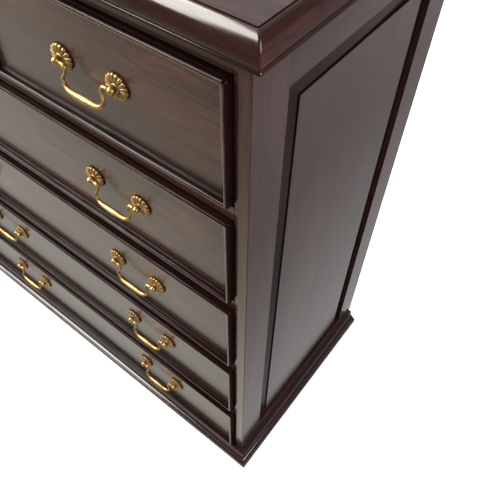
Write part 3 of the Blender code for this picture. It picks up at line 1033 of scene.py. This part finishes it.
# Points of (radius, stand, petal strength, age) from the middle of the back to the ball's tip; age
# is how dark it is, patina and painted shade, at the rim, the boss and round the post.
outline = [(0, 0, 0, 0), (rim - 0.0005, 0, 1, 0.8), (rim, 0.0006, 1, 0.8),
           (rim + 0.0001, 0.0020, 1, 0.4), (rim - 0.0002, 0.0031, 1, 0.1),
           (rim - 0.0009, 0.0040, 1, 0), (petal_start, 0.0046, 1, 0)]
for k in range(1, 9):
    share = k / 8
    radius = petal_start + (boss_radius - petal_start) * share
    stand = 0.0046 + 0.0006 * share + 0.0004 * math.sin(math.pi * share)
    outline.append((radius, stand, 1 - 0.3 * share, 0.5 * share ** 2))
outline += [(0.0077, 0.0047, 0.3, 1), (0.0073, 0.0048, 0, 0.8), (0.0071, 0.0054, 0, 0.2),
            (0.0064, 0.0060, 0, 0.1), (0.0054, 0.0063, 0, 0.4), (0.0044, 0.0064, 0, 1),
            (post_radius, 0.0067, 0, 1)]
start = math.degrees(math.asin(post_radius / ball_radius))
for k in range(ball_steps + 1):
    angle = math.radians(start + (180 - start) * k / ball_steps)
    stand = ball_centre - ball_radius * math.cos(angle)
    outline.append((ball_radius * math.sin(angle), stand, 0, max(0.0, 1.0 - k / 4)))
print("points of the rosette's outline:", len(outline))

# %% Rosette tree
rosette_sizes = {
    "Rings": len(outline), "Petals": petal_count, "Petal Steps": petal_steps,
    "Notch": notch_share, "Groove": groove_share, "Merge": merge_distance,
    "Ball Centre": ball_centre, "Bore Start": ball_radius - pin_depth - bore_end_gap,
    "Bore Length": ball_radius, "Bore Radius": bore_radius}
tree, graph, given = geometry_tree("rosette", rosette_sizes)
sheet = graph.node("GeometryNodeMeshGrid", None, {
    "Size X": 1.0, "Size Y": 1.0, "Vertices X": given("Petals") * given("Petal Steps") + 1.0,
    "Vertices Y": given("Rings")})
position = graph.node("GeometryNodeInputPosition")
sheet_x, sheet_y, _ = graph.parts(position)
turn = sheet_x + 0.5
number = graph.maths("ROUND", (sheet_y + 0.5) * (given("Rings") - 1.0))


def from_outline(value, kind):
    """A value of the outline's point that this ring of the sheet stands for."""
    inputs = {"Geometry": given("Geometry"), "Value": value, "Index": number}
    return graph.node("GeometryNodeSampleIndex", {"data_type": kind}, inputs)


def named(name):
    return graph.node("GeometryNodeInputNamedAttribute", {"data_type": "FLOAT"}, {"Name": name})


outline_radius, _, outline_stand = graph.parts(from_outline(position, "FLOAT_VECTOR"))
across = graph.maths("FRACT", turn * given("Petals")) * 2.0 - 1.0
swell = graph.maths("SQRT", graph.maths("MAXIMUM", 1.0 - across * across, 0.0))
valley = from_outline(named("petal"), "FLOAT") * (1.0 - swell)
radius = outline_radius * (1.0 - valley * given("Notch"))
stand = outline_stand * (1.0 - valley * given("Groove"))
angle = turn * (2 * math.pi)
across, up = radius * graph.maths("COSINE", angle), radius * graph.maths("SINE", angle)
turned = graph.xyz(across, stand * -1.0, up)
# Patina and painted shade: dark in the grooves between the petals and where the outline is aged.
hollow = graph.maths("MAXIMUM", from_outline(named("age"), "FLOAT"), valley ** 1.4 * 1.3)
aged = graph.node("GeometryNodeStoreNamedAttribute", {"data_type": "FLOAT", "domain": "POINT"}, {
    "Geometry": sheet, "Name": hollow_attribute, "Value": hollow})
shaped = graph.node("GeometryNodeSetPosition", None, {"Geometry": aged, "Position": turned})
closed = graph.node("GeometryNodeMergeByDistance", None, {
    "Geometry": shaped, "Distance": given("Merge")})
print("nodes for the petals:", len(tree.nodes))

# %% Rosette bore and mesh
bore = graph.node("GeometryNodeMeshCylinder", None, {
    "Vertices": 24, "Radius": given("Bore Radius"), "Depth": given("Bore Length")})
bore_place = graph.xyz(given("Bore Start") + given("Bore Length") * 0.5, given("Ball Centre") * -1.0)
bore = graph.node("GeometryNodeTransform", None, {
    "Geometry": bore, "Translation": bore_place, "Rotation": (0.0, math.pi / 2, 0.0)})
bored = graph.node("GeometryNodeMeshBoolean", {"operation": "DIFFERENCE", "solver": "EXACT"}, {
    "Mesh 1": closed, "Mesh 2": bore})
close_tree(graph, bored, brass)

line_mesh = new_mesh("rosette_outline", [(radius, 0, stand) for radius, stand, _, _ in outline])
for name, column in (("petal", 2), ("age", 3)):
    store(line_mesh, name, [float(row[column]) for row in outline], "POINT")
rosette = grown_mesh("rosette", line_mesh, tree, rosette_sizes)
open_edges = face_outward(rosette)
rosette.shade_smooth()
rosette.set_sharp_from_angle(angle=cast_smooth)
print("rosette faces:", len(rosette.polygons), "open edges:", open_edges)

# %% Twenty rosettes
rosette_nodes = [name for name in frame["nodes"] if "_rosette_" in name]
riding = frame["record"]["behaviour"]["bodies"]
for node in sorted(rosette_nodes):
    low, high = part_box(node)
    drawer = next(body for body in frame["bodies"] if node in riding[body])
    turn = math.pi if node.endswith("_b") else 0.0
    place = Matrix.Translation(((low.x + high.x) / 2, high.y, (low.z + high.z) / 2))
    mesh = rosette.copy()
    mesh.transform(place @ Matrix.Rotation(turn, 4, "Y"))
    mesh.name = node + "_cast"
    add_piece(node + "_cast", mesh, brass, drawer, [node])
print("rosettes:", len(rosette_nodes))

# %% [markdown]
# The bail is a swan neck: its pins leave the balls on their inner sides, turn down over an elbow, draw
# in to a waist, and swing out to a bar that is thickest in the middle. It is one round wire of varying
# thickness along a smooth line, so rings are set square to the line and skinned.

# %% Bail line
bail_lean = math.radians(14.5)
# Half of the bail from its pin's end to the middle of the bar: x, z and radius in millimetres.
bail_rows = [
    (48.7, 0, 1.8), (48.3, 0, 2), (45.5, 0, 2), (45, 0, 2.1), (44.7, 0, 2.8), (44, 0, 3.1),
    (43.2, 0, 2.8), (42, 0, 2.5), (39.8, -0.1, 2.5), (37.2, -0.5, 2.7), (35.2, -1.8, 2.8),
    (34, -3.9, 2.6), (33.4, -6.8, 2.4), (33.9, -9.8, 2.3), (35.3, -13.2, 2.3),
    (37.1, -16.5, 2.3), (38, -19.6, 2.4), (37.6, -23, 2.6), (35.6, -26.6, 2.8),
    (31.8, -29.8, 3), (26.5, -32, 3.6), (20, -32.9, 4.1), (12, -33, 4.7), (5, -33, 5.1),
    (0, -33, 5.2)]
bail_half = [tuple(value / 1000 for value in row) for row in bail_rows]
bail_sides = 16
bail_fineness = 4
bail_smooth = math.radians(50)
pin_level, collar_place, collar_half = 0.001, 0.0450, 0.0012
waist_depth, waist_half, waist_patina_and_shade = 0.010, 0.012, 0.30

whole = bail_half + [(-x, z, radius) for x, z, radius in reversed(bail_half[:-1])]
# Catmull-Rom points through the given ones.
line = []
for i in range(len(whole) - 1):
    a, b, c, d = (Vector(whole[max(0, min(len(whole) - 1, i + k))]) for k in (-1, 0, 1, 2))
    for step in range(bail_fineness):
        t = step / bail_fineness
        line.append(b + (c - a) * (t / 2) + (a * 2 - b * 5 + c * 4 - d) * (t * t / 2)
                    + (b * 3 - a - c * 3 + d) * (t ** 3 / 2))
line.append(Vector(whole[-1]))
print("points along the bail:", len(line))

# %% Bail mesh
rings, age = [], []
for i, (x, z, radius) in enumerate(line):
    ahead, behind = line[min(i + 1, len(line) - 1)], line[max(i - 1, 0)]
    along = Vector((ahead.x - behind.x, 0, ahead.y - behind.y)).normalized()
    outward = Vector((along.z, 0, -along.x))
    ring = []
    for k in range(bail_sides):
        angle = 2 * math.pi * k / bail_sides
        across = outward * (radius * math.cos(angle))
        ring.append(Vector((x, 0, z)) + across + Vector((0, radius * math.sin(angle), 0)))
    rings.append(ring)
    # Patina and painted shade: darker at the collar by the pin and at the waist of the neck.
    on_pin = abs(z) < pin_level
    collar = max(0.0, 1.0 - abs(abs(x) - collar_place) / collar_half) if on_pin else 0.0
    waist = waist_patina_and_shade * max(0.0, 1.0 - abs(z + waist_depth) / waist_half)
    age += [max(collar, waist)] * bail_sides
swan_neck = Boards("bail")
swan_neck.skin(rings, "x")
bail = new_mesh("bail", swan_neck.points, swan_neck.faces)
store(bail, hollow_attribute, age, "POINT")
face_outward(bail)
bail.shade_smooth()
bail.set_sharp_from_angle(angle=bail_smooth)
print("bail faces:", len(bail.polygons))

# %% Ten bails
swings = [joint for joint in frame["joints"] if joint["name"].endswith("_swing")]
for joint in swings:
    body = joint["child"]
    mesh = bail.copy()
    mesh.transform(Matrix.Translation(joint["pos_m"]) @ Matrix.Rotation(-bail_lean, 4, "X"))
    mesh.name = body + "_cast"
    add_piece(body + "_cast", mesh, brass, body, [body])
print("bails:", len(swings))
